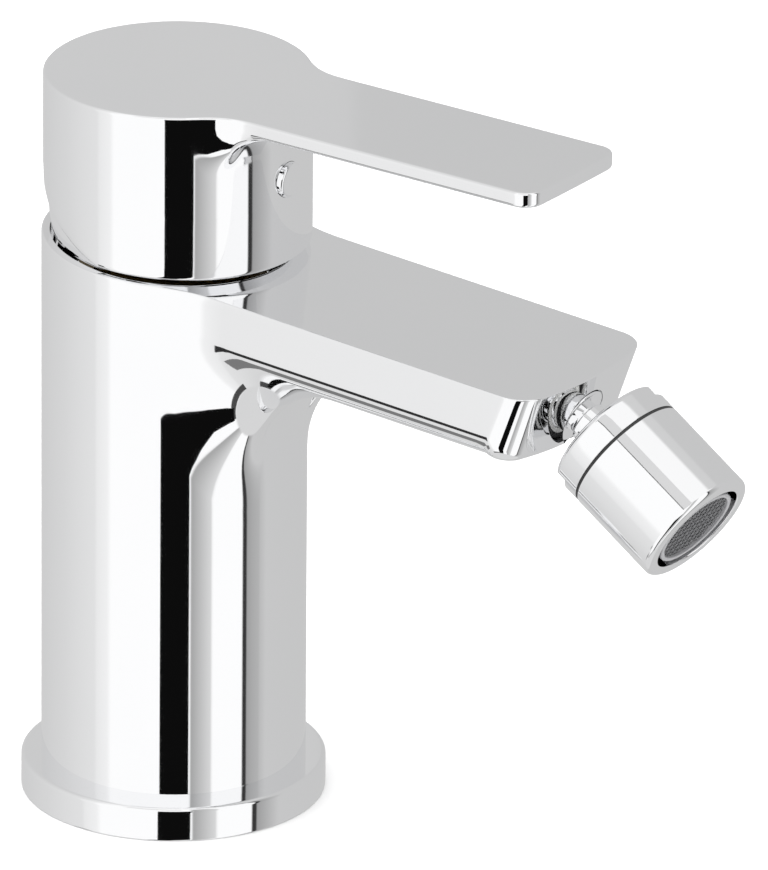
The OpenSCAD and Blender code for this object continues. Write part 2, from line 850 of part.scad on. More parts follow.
module ball_retainer() {
    retainer_z = 2.4;
    way_r = 4.5;
    color("white") on_nozzle() difference() {
        ring(seat_r - fit, way_r, retainer_z, cap_spigot_l);
        sphere(r = seat_r);
    }
}

module aerator_gasket() {
    color("black") on_nozzle() ring(insert_flange_r, insert_in_r - 0.5, cap_spigot_l, insert_top_z);
}

module aerator_insert() {
    color("darkgray") on_nozzle() difference() {
        union() {
            disc(insert_flange_r, insert_top_z, ledge_z);
            disc(insert_r, ledge_z, insert_end_z);
        }
        disc(insert_in_r, insert_top_z - cut, insert_end_z);
        disc(screen_r, diffuser_z, insert_end_z + cut);
    }
}

module aerator_diffuser() {
    color("gray") on_nozzle() difference() {
        disc(screen_r - fit, diffuser_z, diffuser_z + diffuser_t);
        for (row = diffuser_rings, i = [0 : row[1] - 1])
            rotate([0, 0, i * 360 / row[1]]) translate([row[0], 0, 0])
                disc(diffuser_hole_r, diffuser_z - cut, diffuser_z + diffuser_t + cut);
    }
}

module aerator_screen() {
    rim = 0.5;
    rows = floor(screen_r / screen_pitch);
    color("gray") on_nozzle() {
        ring(screen_r - fit, screen_r - fit - rim, screen_z, screen_z + screen_t);
        intersection() {
            disc(screen_r - fit - rim / 2, screen_z, screen_z + screen_t);
            for (turn = [0, 90], i = [-rows : rows]) rotate([0, 0, turn])
                translate([i * screen_pitch - screen_bar / 2, -screen_r, screen_z])
                    cube([screen_bar, screen_d, screen_t]);
        }
    }
}

mixer_body();
base_ring();
base_seal();
cartridge_housing();
cartridge_base();
cartridge_seals();
cartridge_o_ring();
fixed_disc();
cartridge_nut();
swivel_nipple();
nipple_washer();
cartridge_rotor();
pivot_pin();
lever_stem();
handle();
grub_screw();
index_button();
disc_carrier();
moving_disc();
ball_liner();
ball_gasket();
nozzle_cap();
nozzle_ring();
nozzle_sleeve();
ball_retainer();
aerator_gasket();
aerator_insert();
aerator_diffuser();
aerator_screen();
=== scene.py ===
import bmesh
import bpy
import json
import math
from mathutils import Matrix, Vector


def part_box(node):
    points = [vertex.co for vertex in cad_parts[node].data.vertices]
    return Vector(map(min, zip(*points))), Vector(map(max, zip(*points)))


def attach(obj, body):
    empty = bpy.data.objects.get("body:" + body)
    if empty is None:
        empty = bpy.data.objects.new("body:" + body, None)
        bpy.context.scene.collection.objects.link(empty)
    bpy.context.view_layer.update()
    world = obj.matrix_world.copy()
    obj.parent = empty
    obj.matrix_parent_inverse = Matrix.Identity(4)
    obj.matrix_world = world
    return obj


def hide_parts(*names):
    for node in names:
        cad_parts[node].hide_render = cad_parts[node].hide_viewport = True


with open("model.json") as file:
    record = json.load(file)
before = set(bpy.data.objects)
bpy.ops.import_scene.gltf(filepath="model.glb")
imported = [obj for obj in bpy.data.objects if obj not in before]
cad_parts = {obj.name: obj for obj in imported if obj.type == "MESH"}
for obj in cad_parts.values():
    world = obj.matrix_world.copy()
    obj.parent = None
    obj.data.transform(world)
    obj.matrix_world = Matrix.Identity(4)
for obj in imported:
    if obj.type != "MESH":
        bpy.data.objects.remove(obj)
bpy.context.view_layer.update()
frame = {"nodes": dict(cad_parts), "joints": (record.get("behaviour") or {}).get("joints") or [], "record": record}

# Camera: a long lens from the front right, looking down on the mixer.
# The place of the barrel's middle in the picture sets its aim.
picture_w, picture_h = 768, 870
focal_px = 17646
camera_azimuth = math.radians(34.882)
camera_elevation = math.radians(22.374)
camera_roll = math.radians(0.445)
camera_distance = 2.9798
aim_point = Vector((0, 0, 0.070))
aim_px, aim_py = 174.48, 400.41

camera_back = Vector((
    math.sin(camera_azimuth) * math.cos(camera_elevation),
    -math.cos(camera_azimuth) * math.cos(camera_elevation),
    math.sin(camera_elevation),
))
level_right = Vector((math.cos(camera_azimuth), math.sin(camera_azimuth), 0))
level_up = camera_back.cross(level_right)
camera_right = math.cos(camera_roll) * level_right + math.sin(camera_roll) * level_up
camera_up = math.cos(camera_roll) * level_up - math.sin(camera_roll) * level_right
metres_per_px = camera_distance / focal_px
camera_place = aim_point + camera_back * camera_distance
camera_place -= camera_right * (aim_px - picture_w / 2) * metres_per_px
camera_place += camera_up * (aim_py - picture_h / 2) * metres_per_px

camera_data = bpy.data.cameras.new("camera")
camera_data.sensor_width = 36
camera_data.lens = focal_px * camera_data.sensor_width / picture_h
camera_data.clip_start, camera_data.clip_end = 0.1, 50
camera = bpy.data.objects.new("camera", camera_data)
camera.matrix_world = Matrix((
    (camera_right.x, camera_up.x, camera_back.x, camera_place.x),
    (camera_right.y, camera_up.y, camera_back.y, camera_place.y),
    (camera_right.z, camera_up.z, camera_back.z, camera_place.z),
    (0, 0, 0, 1),
))
scene = bpy.context.scene
scene.collection.objects.link(camera)
scene.camera = camera
scene.view_settings.view_transform = "Standard"

# Studio: a white room and a white floor that keeps the mixer's soft shadow.
# A large lamp overhead lifts the floor to the white of the room.
world = bpy.data.worlds.new("white_room")
world.use_nodes = True
world.node_tree.nodes["Background"].inputs["Color"].default_value = (1, 1, 1, 1)
scene.world = world


def add_mesh(name, points, faces):
    mesh = bpy.data.meshes.new(name)
    mesh.from_pydata([tuple(p) for p in points], [], faces)
    obj = bpy.data.objects.new(name, mesh)
    scene.collection.objects.link(obj)
    return obj


def new_material(name, **plain):
    """A material with plain values on its shader, and functions that add nodes and link them to it."""
    made = bpy.data.materials.new(name)
    made.use_nodes = True
    shader = made.node_tree.nodes["Principled BSDF"]
    for key, value in plain.items():
        shader.inputs[key.replace("_", " ")].default_value = value

    def node(kind, links=(), **values):
        n = made.node_tree.nodes.new(kind)
        for key, value in values.items():
            if hasattr(n, key):
                setattr(n, key, value)
            else:
                n.inputs[key.replace("_", " ")].default_value = value
        for socket, source in links:
            made.node_tree.links.new(source, n.inputs[socket])
        return n

    def link(source, socket):
        made.node_tree.links.new(source, shader.inputs[socket])

    return made, node, link


floor_half = 6.0
floor = add_mesh("floor", [
    (-floor_half, -floor_half, 0), (floor_half, -floor_half, 0),
    (floor_half, floor_half, 0), (-floor_half, floor_half, 0),
], [(0, 1, 2, 3)])
floor_white = new_material(
    "floor_white", Base_Color=(0.9, 0.9, 0.9, 1), Roughness=0.9, Specular_IOR_Level=0)[0]
floor.data.materials.append(floor_white)
floor.visible_glossy = False

lamp_data = bpy.data.lights.new("overhead_lamp", "AREA")
lamp_data.size = 3.0
lamp_data.energy = 60
lamp = bpy.data.objects.new("overhead_lamp", lamp_data)
lamp.location = (0.3, -0.5, 2.2)
lamp.visible_glossy = False
scene.collection.objects.link(lamp)

# Light tent: a dome that only the polished metal sees, with a ring of bright and dark walls, a pale table
# below and a white roof. Cards hang in it in front of the walls, the roof and the table's edge.
# Azimuths are degrees from the camera's direction, elevations degrees above level.
tent_r = 3.0
tent_middle = Vector((0.03, 0, 0.07))
camera_heading = math.atan2(camera_back.y, camera_back.x)
wall_levels = [
    (-180, 0.62), (-150, 0.64), (-110, 0.7), (-90, 0.75), (-73, 0.79), (-70, 0.86), (-60, 0.92), (-56, 1.04),
    (14, 1.04), (14.5, 0.38), (33, 0.72), (34, 1.04), (62, 1.04), (62.8, 0.04), (66.2, 0.04), (67, 0.36),
    (88, 0.6), (180, 0.58),
]
roof_levels = [(-180, 0.66), (-110, 0.75), (-75, 1.0), (85, 1.0), (97, 0.66), (180, 0.64)]
table_level = 0.7
table_edge, table_soft = -65.5, 1.0
wall_top, roof_soft = 55, 2.0


def glow(name, level):
    """Even light of one level."""
    made = bpy.data.materials.new(name)
    made.use_nodes = True
    nodes = made.node_tree.nodes
    nodes.remove(nodes["Principled BSDF"])
    light = nodes.new("ShaderNodeEmission")
    light.inputs["Color"].default_value = (level, level, level, 1)
    made.node_tree.links.new(light.outputs["Emission"], nodes["Material Output"].inputs["Surface"])
    return made


def only_in_reflections(obj):
    """Hides a piece of the tent from all but reflections."""
    obj.visible_camera = False
    obj.visible_diffuse = False
    obj.visible_shadow = False
    obj.visible_transmission = False
    obj.visible_volume_scatter = False


def tent_point(azimuth, elevation, radius):
    azimuth, elevation = math.radians(azimuth), math.radians(elevation)
    flat = radius * math.cos(elevation)
    return Vector((flat * math.cos(azimuth), flat * math.sin(azimuth), radius * math.sin(elevation)))


def tent_patch(name, rows, radius, columns):
    """A piece of the dome between rows of (elevation, first azimuth, last azimuth)."""
    points, faces = [], []
    for elevation, first, last in rows:
        for i in range(columns + 1):
            points.append(tent_point(first + (last - first) * i / columns, elevation, radius))
    width = columns + 1
    for i in range(len(rows) - 1):
        for j in range(columns):
            a = i * width + j
            faces.append((a, a + 1, a + width + 1, a + width))
    patch = add_mesh(name, points, faces)
    patch.location = tent_middle
    patch.rotation_euler = (0, 0, camera_heading)
    only_in_reflections(patch)
    return patch


def tent_material():
    """Light of the dome: the table, the ring of walls and the roof, each over the other."""
    made = glow("tent_light", 1)
    nodes, links = made.node_tree.nodes, made.node_tree.links
    place = nodes.new("ShaderNodeTexCoord")
    around = nodes.new("ShaderNodeTexGradient")
    around.gradient_type = "RADIAL"
    links.new(place.outputs["Object"], around.inputs["Vector"])
    split = nodes.new("ShaderNodeSeparateXYZ")
    links.new(place.outputs["Object"], split.inputs["Vector"])

    def ring(levels):
        """Light around the dome by (azimuth, level)."""
        ramp = nodes.new("ShaderNodeValToRGB")
        while len(ramp.color_ramp.elements) < len(levels):
            ramp.color_ramp.elements.new(1)
        for element, (azimuth, level) in zip(ramp.color_ramp.elements, levels):
            element.position = azimuth / 360 + 0.5
            element.color = (level, level, level, 1)
        links.new(around.outputs["Fac"], ramp.inputs["Fac"])
        return ramp.outputs["Color"]

    def above(elevation, lower, upper, soft):
        """The lower colour below an elevation and the upper one above it."""
        step = nodes.new("ShaderNodeMapRange")
        step.inputs["From Min"].default_value = tent_r * math.sin(math.radians(elevation - soft))
        step.inputs["From Max"].default_value = tent_r * math.sin(math.radians(elevation + soft))
        links.new(split.outputs["Z"], step.inputs["Value"])
        mix = nodes.new("ShaderNodeMix")
        mix.data_type = "RGBA"
        links.new(step.outputs["Result"], mix.inputs["Factor"])
        for socket, value in (("A", lower), ("B", upper)):
            if isinstance(value, float):
                mix.inputs[socket].default_value = (value, value, value, 1)
            else:
                links.new(value, mix.inputs[socket])
        return mix.outputs["Result"]

    levels = above(table_edge, table_level, ring(wall_levels), table_soft)
    levels = above(wall_top, levels, ring(roof_levels), roof_soft)
    links.new(levels, nodes["Emission"].inputs["Color"])
    return made


tent = tent_patch("tent", [(elevation, -180, 180) for elevation in range(-90, 91, 5)], tent_r, columns=72)
tent.data.materials.append(tent_material())

# Cards as name, light, distance, columns, and rows of (elevation, first azimuth, last azimuth)
near_r, card_r = tent_r * 0.97, tent_r * 0.98
cards = [
    ("black_card", 0.004, near_r, 12, [
        (-64, -30, -5), (-58, -27, -3), (-45, -21, 1), (-32, -14.5, 9.5), (-27, -12, 12.5),
        (-22, -11.2, 13.6), (-12, -11, 14.5), (8, -11, 14.5),
    ]),
    ("side_line", 0.03, card_r, 12, [(-34, -80, -69), (-26, -76, -68)]),
    ("side_card", 0.2, card_r, 12, [(-53, -112, -84), (-50, -106, -80), (-44, -96, -74)]),
    ("roof_line", 0.12, card_r, 24, [(47.5, -48, 8), (48.7, -48, 8)]),
    ("roof_card", 0.73, card_r, 24, [(48.7, -48, 8), (62, -48, 8)]),
    ("table_line", 0.07, card_r, 24, [(-65.5, -80, -8), (-61.5, -80, -8)]),
]
for name, level, distance, columns, rows in cards:
    card = tent_patch(name, rows, distance, columns)
    card.data.materials.append(glow(name + "_light", level))

# Body: one brass casting, barrel and flat spout, polished and chromed. The spout's top face carries on the
# sloping rim of the barrel, and a soft fillet all around its root runs it into the barrel. It stands on the
# foot ring, and the cartridge, the hoses and the nipple go into bores from above, below and the front.
chrome_tint, chrome_cool = (0.955, 0.955, 0.96, 1), (0.93, 0.935, 0.945, 1)


def chrome_material():
    """Polished plating: nearly even, with faint cloudy haze and a very slight waviness."""
    made, node, link = new_material("chrome", Metallic=1)
    place = node("ShaderNodeTexCoord").outputs["Object"]
    haze = node("ShaderNodeTexNoise", [("Vector", place)], Scale=180.0, Detail=4.0)
    rough = node("ShaderNodeMapRange", [("Value", haze.outputs["Fac"])], To_Min=0.02, To_Max=0.06)
    link(rough.outputs["Result"], "Roughness")
    tone = node("ShaderNodeTexNoise", [("Vector", place)], Scale=40.0, Detail=2.0)
    tint = node("ShaderNodeMix", [("Factor", tone.outputs["Fac"])], data_type="RGBA")
    tint.inputs["A"].default_value = chrome_tint
    tint.inputs["B"].default_value = chrome_cool
    link(tint.outputs["Result"], "Base Color")
    wave = node("ShaderNodeTexNoise", [("Vector", place)], Scale=25.0, Detail=1.0)
    bump = node("ShaderNodeBump", [("Height", wave.outputs["Fac"])], Strength=0.05, Distance=0.0002)
    link(bump.outputs["Normal"], "Normal")
    return made


chrome = chrome_material()
joints = {joint["name"]: joint for joint in frame["joints"]}
barrel_r = 0.0225
base_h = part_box("base_ring")[1].z
top_h = joints["handle_swing"]["pos_m"][2]
swing_axis = Vector(joints["handle_swing"]["axis"])
top_slope = math.atan2(swing_axis.x, swing_axis.z)
top_frame = Matrix.Translation((0, 0, top_h)) @ Matrix.Rotation(top_slope, 4, "Y")


class Skin:
    """Points and faces of a closed skin that is put together from grids and flat faces."""

    def __init__(self):
        self.points, self.faces = [], []

    def grid(self, rows):
        """Adds rows of points with four-sided faces between them."""
        start, width = len(self.points), len(rows[0])
        for row in rows:
            self.points.extend(row)
        for i in range(len(rows) - 1):
            for j in range(width - 1):
                a = start + i * width + j
                self.faces.append((a, a + 1, a + width + 1, a + width))

    def flat(self, loop):
        """Adds one face inside a loop of points."""
        self.faces.append(tuple(range(len(self.points), len(self.points) + len(loop))))
        self.points.extend(loop)


def plane_height(place, x, level):
    """Height at x of the plane that lies a level above the XY plane of a frame that leans about Y."""
    lean_sin, lean_cos = -place[2][0], place[0][0]
    return place[2][3] + (level - (x - place[0][3]) * lean_sin) / lean_cos


def blend_curve(first, last, way_out, way_in, reach, steps):
    """Points of a soft curve that leaves and meets its two surfaces without a change of bend."""
    ends = [first, first + way_out * reach, first + way_out * 2 * reach,
            last - way_in * 2 * reach, last - way_in * reach, last]
    shares = (1, 5, 10, 10, 5, 1)
    degree = len(ends) - 1
    curve = []
    for k in range(steps + 1):
        t = k / steps
        point = Vector((0, 0, 0))
        for i, (share, end) in enumerate(zip(shares, ends)):
            point += share * t ** i * (1 - t) ** (degree - i) * end
        curve.append(point)
    return curve


def bar_on_barrel(barrel, place, bar, front, floor_height):
    """Skin of a flat bar that runs out of an upright barrel at its top, with a soft root all around.

    The place's XY plane is the flat top. The loop of the barrel's lower end is handed back.
    """
    lean_sin, lean_cos = -place[2][0], place[0][0]
    turn_frame = place.to_3x3()
    half, thick, edge, rim_r = bar["half"], bar["thick"], bar["edge"], bar["rim"]
    side_rows, edge_rows, under_rows, root_rows, barrel_rows, rim_rows = 8, 16, 48, 56, 28, 4
    lower_rows = side_rows + edge_rows

    # Section across the bar as (y, z, outward y, outward z): down the near side, across and up the far side
    section = []
    for i in range(side_rows):
        section.append((-half, -rim_r - (thick - edge - rim_r) * i / side_rows, -1, 0))
    for i in range(edge_rows):
        turn = math.pi / 2 * i / edge_rows
        section.append((-half + edge - edge * math.cos(turn), -thick + edge - edge * math.sin(turn),
                        -math.cos(turn), -math.sin(turn)))
    for i in range(under_rows + 1):
        section.append(((half - edge) * (2 * i / under_rows - 1), -thick, 0, -1))
    section += [(-y, z, -ny, nz) for y, z, ny, nz in reversed(section[:lower_rows])]

    # Root: curves from the bar to the barrel, in the planes of a ball that rolls along both
    root = []
    for y, z, ny, nz in section:
        ball = bar["root_under"] + (bar["root_side"] - bar["root_under"]) * ny ** 2
        mid_y, mid_z = y + ball * ny, z + ball * nz
        mid_x = math.sqrt((barrel + ball) ** 2 - mid_y ** 2)
        middle = place @ Vector(((mid_x - mid_z * lean_sin) / lean_cos, mid_y, mid_z))
        to_bar = turn_frame @ Vector((0, -ny, -nz))
        to_barrel = -Vector((mid_x, mid_y, 0)).normalized()
        spread = to_bar.angle(to_barrel)
        way_out = (to_barrel - to_bar * math.cos(spread)) / math.sin(spread)
        way_in = (to_barrel * math.cos(spread) - to_bar) / math.sin(spread)
        curve = blend_curve(middle + ball * to_bar, middle + ball * to_barrel, way_out, way_in,
                            bar["bite"] * ball * math.tan(spread / 2), root_rows)
        if nz == 0:
            for point in curve:
                point.z = plane_height(place, point.x, z)
        root.append(curve)
    skin = Skin()
    skin.grid(root)

    def column(x, y, top):
        """Points up the barrel from its lower end to a height."""
        low = floor_height(x)
        return [Vector((x, y, low + (top - low) * i / barrel_rows)) for i in range(barrel_rows + 1)]

    # Barrel: columns under the bar, then round the sides and back in rows that match the bar's sides
    under = root[side_rows:len(root) - side_rows]
    inside = [column(curve[-1].x, curve[-1].y, curve[-1].z) for curve in under]
    skin.grid(inside)
    seam = root[side_rows][-1]
    seam_angle = math.atan2(-seam.y, seam.x - place[0][3])
    back_columns = 132
    side_levels = [z for y, z, ny, nz in section[:side_rows + 1]]
    outside = []
    for i in range(back_columns + 1):
        angle = seam_angle + (2 * math.pi - 2 * seam_angle) * i / back_columns
        x, y = place[0][3] + barrel * math.cos(angle), barrel * math.sin(angle)
        rows = column(x, y, plane_height(place, x, side_levels[-1]))
        rows += [Vector((x, y, plane_height(place, x, level))) for level in reversed(side_levels[:-1])]
        outside.append(rows)
    skin.grid(outside)

    # Outline of the bar's front as (x, y, outward angle), from the near side round to the far side
    length, corner_r, bow_r = front["length"], front["corner"], front["bow"]
    corner_y = half - corner_r
    corner_x = length - bow_r + math.sqrt((bow_r - corner_r) ** 2 - corner_y ** 2)
    bow_angle = math.atan2(corner_y, corner_x - length + bow_r)
    corner_steps, bow_steps, side_columns = 14, 28, 30
    outline = []
    for i in range(corner_steps):
        angle = -math.pi / 2 + (math.pi / 2 - bow_angle) * i / corner_steps
        outline.append((corner_x + corner_r * math.cos(angle), -corner_y + corner_r * math.sin(angle), angle))
    for i in range(bow_steps + 1):
        angle = bow_angle * (2 * i / bow_steps - 1)
        outline.append((length - bow_r + bow_r * math.cos(angle), bow_r * math.sin(angle), angle))
    outline += [(x, -y, -angle) for x, y, angle in reversed(outline[:corner_steps])]

    def wall_point(x, y, angle, row):
        """A point of the bar's wall: it leans back in front and turns under at its lower edge."""
        foot_r = edge + (front["chin"] - edge) * math.cos(angle)
        straight = thick - foot_r
        depth, inset = rim_r + (straight - rim_r) * row / side_rows, 0
        if row > side_rows:
            turn = math.pi / 2 * (row - side_rows) / edge_rows
            depth = straight + foot_r * math.sin(turn)
            inset = foot_r * (1 - math.cos(turn))
        back = front["lean"] * depth * (front["mid"] + (1 - front["mid"]) * (y / half) ** 2)
        return place @ Vector((x - back - inset * math.cos(angle), y - inset * math.sin(angle), -depth))

    nose = [[wall_point(*spot, row) for row in range(lower_rows + 1)] for spot in outline]
    near = [curve[0] for curve in root[:lower_rows + 1]]
    far = [curve[0] for curve in reversed(root[len(root) - lower_rows - 1:])]
    wall = [[a.lerp(b, i / side_columns) for a, b in zip(near, nose[0])] for i in range(side_columns)]
    wall += nose
    wall += [[a.lerp(b, i / side_columns) for a, b in zip(nose[-1], far)] for i in range(1, side_columns + 1)]
    skin.grid(wall)
    skin.flat([rows[-1] for rows in wall]
              + [curve[0] for curve in reversed(root[lower_rows:len(root) - lower_rows])])

    # Rim: a small round along the whole outline of the flat top
    loop = [rows[-1] for rows in outside] + list(reversed(root[0]))[1:]
    loop += [rows[0] for rows in wall][1:] + root[-1][1:-1]
    up = turn_frame @ Vector((0, 0, 1))
    outward = [(loop[(i + 1) % len(loop)] - loop[i - 1]).cross(up).normalized() for i in range(len(loop))]
    rim_grid = []
    for i in range(rim_rows + 1):
        turn = math.pi / 2 * i / rim_rows
        row = [p - out * rim_r * (1 - math.cos(turn)) + up * rim_r * math.sin(turn)
               for p, out in zip(loop, outward)]
        rim_grid.append(row + row[:1])
    skin.grid(rim_grid)
    skin.flat(rim_grid[-1][:-1])
    return skin, [rows[0] for rows in outside[:-1]] + [rows[0] for rows in inside[:-1]]


# Half width, thickness, radii of the lower edge and of the rim, radii of the root at the sides and below, and
# how full the root is. Then the front: length, corners, bow, lean back, its share in the middle, lower edge.
spout = {"half": 0.0178, "thick": 0.013, "edge": 0.005, "rim": 0.0003,
         "root_side": 0.036, "root_under": 0.027, "bite": 0.36}
spout_front = {"length": 0.0861 / math.cos(top_slope), "corner": 0.0055, "bow": 0.065,
               "lean": math.tan(math.radians(18)), "mid": 0.75, "chin": 0.0016}
body_skin, foot_loop = bar_on_barrel(barrel_r, top_frame, spout, spout_front, lambda x: base_h)
body_skin.flat(foot_loop)


def weld(obj, gap=2e-6):
    """Joins points that coincide and turns all faces outwards."""
    work = bmesh.new()
    work.from_mesh(obj.data)
    bmesh.ops.remove_doubles(work, verts=work.verts, dist=gap)
    bmesh.ops.dissolve_degenerate(work, edges=work.edges, dist=gap / 4)
    bmesh.ops.recalc_face_normals(work, faces=work.faces)
    work.to_mesh(obj.data)
    work.free()
    return obj


body = weld(add_mesh("body_casting", body_skin.points, body_skin.faces))


def rounded(corners, steps=6):
    """Closed outline through corners given as (x, y, radius), each rounded to its radius."""
    points = []
    for i, (x, y, radius) in enumerate(corners):
        if radius == 0:
            points.append((x, y))
            continue
        at = Vector((x, y))
        before = (Vector(corners[i - 1][:2]) - at).normalized()
        after = (Vector(corners[(i + 1) % len(corners)][:2]) - at).normalized()
        half = before.angle(after) / 2
        middle = at + (before + after).normalized() * radius / math.sin(half)
        first = at + before * radius / math.tan(half) - middle
        last = at + after * radius / math.tan(half) - middle
        swing = first.angle_signed(last)
        for k in range(steps + 1):
            part = -swing * k / steps
            points.append((
                middle.x + first.x * math.cos(part) - first.y * math.sin(part),
                middle.y + first.x * math.sin(part) + first.y * math.cos(part),
            ))
    return points


def lathe(name, profile, place, steps=128, limit=None):
    """Turns a closed outline of (radius, height) about the Z axis of a frame."""
    points, faces = [], []
    count = len(profile)
    for i in range(steps):
        angle = 2 * math.pi * i / steps
        for radius, height in profile:
            if limit:
                radius = limit(radius, height, angle)
            points.append(place @ Vector((radius * math.cos(angle), radius * math.sin(angle), height)))
    for i in range(steps):
        here, there = i * count, (i + 1) % steps * count
        for j in range(count):
            k = (j + 1) % count
            faces.append((here + j, there + j, there + k, here + k))
    return weld(add_mesh(name, points, faces))


def plug(name, profile, place, steps=128):
    """Turns an outline that starts and ends on the axis into a solid."""
    return lathe(name, [(0, profile[0][1])] + profile + [(0, profile[-1][1])], place, steps)


def rod(name, start, end, radius, steps=48):
    start, end = Vector(start), Vector(end)
    place = Matrix.Translation(start) @ (end - start).to_track_quat("Z", "Y").to_matrix().to_4x4()
    return plug(name, [(radius, 0), (radius, (end - start).length)], place, steps)


def block(name, low, high, place):
    corners = [(x, y, z) for x in (low[0], high[0]) for y in (low[1], high[1]) for z in (low[2], high[2])]
    faces = [(0, 1, 3, 2), (4, 6, 7, 5), (0, 4, 5, 1), (2, 3, 7, 6), (0, 2, 6, 4), (1, 5, 7, 3)]
    return weld(add_mesh(name, [place @ Vector(c) for c in corners], faces))


def take_away(obj, *cutters):
    """Cuts the cutters out of a piece and removes them."""
    for cutter in cutters:
        step = obj.modifiers.new(cutter.name, "BOOLEAN")
        step.operation = "DIFFERENCE"
        step.solver = "EXACT"
        step.object = cutter
    graph = bpy.context.evaluated_depsgraph_get()
    made = bpy.data.meshes.new_from_object(obj.evaluated_get(graph))
    obj.modifiers.clear()
    old = obj.data
    obj.data = made
    bpy.data.meshes.remove(old)
    for cutter in cutters:
        mesh = cutter.data
        bpy.data.objects.remove(cutter)
        bpy.data.meshes.remove(mesh)
    return obj


def dress(obj, material, body_name, slot_name, *nodes, sharp=32):
    """Smooth shading with sharp edges, the material, and the piece's place in the frame."""
    mesh = obj.data
    mesh.materials.clear()
    mesh.materials.append(material)
    for face in mesh.polygons:
        face.material_index = 0
        face.use_smooth = True
    mesh.set_sharp_from_angle(angle=math.radians(sharp))
    even = obj.modifiers.new("even_normals", "WEIGHTED_NORMAL")
    even.keep_sharp = True
    even.weight = 60
    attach(obj, body_name)
    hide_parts(*nodes)


# Bores: levels below the top face for the cartridge, heights over the deck for the hollow foot and its holes
open_r = 0.0211
recess_z, shoulder_z, step_z, floor_z = -0.006, -0.009, -0.0129, -0.02795
nut_bore_r, cartridge_bore_r, chamber_r = 0.01585, 0.01405, 0.0158
hollow_r, hollow_top, hole_from = 0.0195, 0.040, 0.039
stud_x, stud_r, stud_end = -0.010, 0.0034, 0.054
inlet_x, inlet_y = frame["record"]["mounts"][1]["pos_m"][0], 0.008
inlet_r, inlet_end, way_from, way_r = 0.0045, 0.052, 0.051, 0.002
port_x, port_y = 0.0032, 0.0054
clear = 0.001
bores = [
    plug("cartridge_bore", [
        (chamber_r, floor_z), (chamber_r, step_z), (cartridge_bore_r, step_z), (cartridge_bore_r, shoulder_z),
        (nut_bore_r, shoulder_z), (nut_bore_r, recess_z), (open_r, recess_z), (open_r, clear),
    ], top_frame),
    rod("foot_hollow", (0, 0, base_h - clear), (0, 0, hollow_top), hollow_r, steps=96),
    rod("stud_hole", (stud_x, 0, hole_from), (stud_x, 0, stud_end), stud_r),
]
for side in (-1, 1):
    y = side * inlet_y
    port = top_frame @ Vector((port_x, side * port_y, floor_z + clear))
    bores.append(rod("inlet", (inlet_x, y, hole_from), (inlet_x, y, inlet_end), inlet_r))
    bores.append(rod("inlet_way", (inlet_x, y, way_from), port, way_r, steps=24))

ball_middle = Vector(joints["nozzle_swivel"]["pos_m"])
nipple_axis = Vector(joints["nozzle_swivel"]["axis"])
nipple_frame = Matrix.Translation(ball_middle) @ Matrix.Rotation(
    math.atan2(nipple_axis.x, nipple_axis.z), 4, "Y")
seat_z, shank_l = -0.0116, 0.008
thread_bore_r, flange_bore_r, flange_bore_l = 0.00405, 0.0053, 0.006
bores.append(plug("nipple_bore", [
    (thread_bore_r, seat_z - shank_l - clear), (thread_bore_r, seat_z), (flange_bore_r, seat_z),
    (flange_bore_r, seat_z + flange_bore_l),
], nipple_frame, steps=64))
take_away(body, *bores)
dress(body, chrome, "body", "chrome", "mixer_body")

# Foot ring: a flat turned ring of chromed brass between the barrel and the deck.
# A groove in its underside holds the rubber ring that seals it to the deck.
base_r, hole_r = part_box("base_ring")[1].x, 0.0175
seal_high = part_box("base_seal")[1]
seal_out, seal_w, seal_t, groove_fit = seal_high.x, 0.0026, seal_high.z, 0.00005
groove_in, groove_out = seal_out - seal_w - groove_fit, seal_out + groove_fit
hole_edge, low_edge, top_edge = 0.0002, 0.0003, 0.0007
level_frame = Matrix.Identity(4)
foot_ring = lathe("foot_ring", rounded([
    (hole_r, 0, hole_edge), (groove_in, 0, 0), (groove_in, seal_t, 0), (groove_out, seal_t, 0),
    (groove_out, 0, 0), (base_r, 0, low_edge), (base_r, base_h, top_edge), (hole_r, base_h, hole_edge),
]), level_frame, steps=192)
dress(foot_ring, chrome, "body", "chrome", "base_ring")

# Handle: a zinc casting, chromed: a round cup with a flat lever that runs on from its top face.
# The cup's lower edge is chamfered in to the body's opening in front, and at the back it is round about the
# lift axis, so that it dips past the rim. A boss inside holds the stem, with a grub screw from the front.
cup_r, cup_x, handle_top = 0.0227, 0.0006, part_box("handle")[1].z
lever = {"half": 0.0131, "thick": 0.0028, "edge": 0.0007, "rim": 0.0005,
         "root_side": 0.0178, "root_under": 0.006, "bite": 0.4}
lever_front = {"length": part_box("handle")[1].x - cup_x, "corner": 0.0035, "bow": 0.6,
               "lean": 0.0, "mid": 1.0, "chin": 0.0007}
cup_frame = Matrix.Translation((cup_x, 0, handle_top))
skirt_top = 0.0125
handle_skin, skirt_loop = bar_on_barrel(
    cup_r, cup_frame, lever, lever_front, lambda x: plane_height(top_frame, x, skirt_top))

# Skirt of the cup: the wall goes on down, closes in at the chamfer or at the round, and turns in at its edge
handle_gap, chamfer_h, chamfer_over, passing = 0.00025, 0.0022, 0.002, 0.0003
skirt_r, wide_r = open_r - handle_gap, cup_r + chamfer_over
pivot_up, lift = 0.008, math.radians(joints["handle_lift"]["range_deg"][1])
relief_r, flare = math.hypot(open_r, pivot_up) - passing, 1.2
recess_clear = 0.0006
inner_r, inner_low, edge_turn = 0.018, -0.004, 0.0001


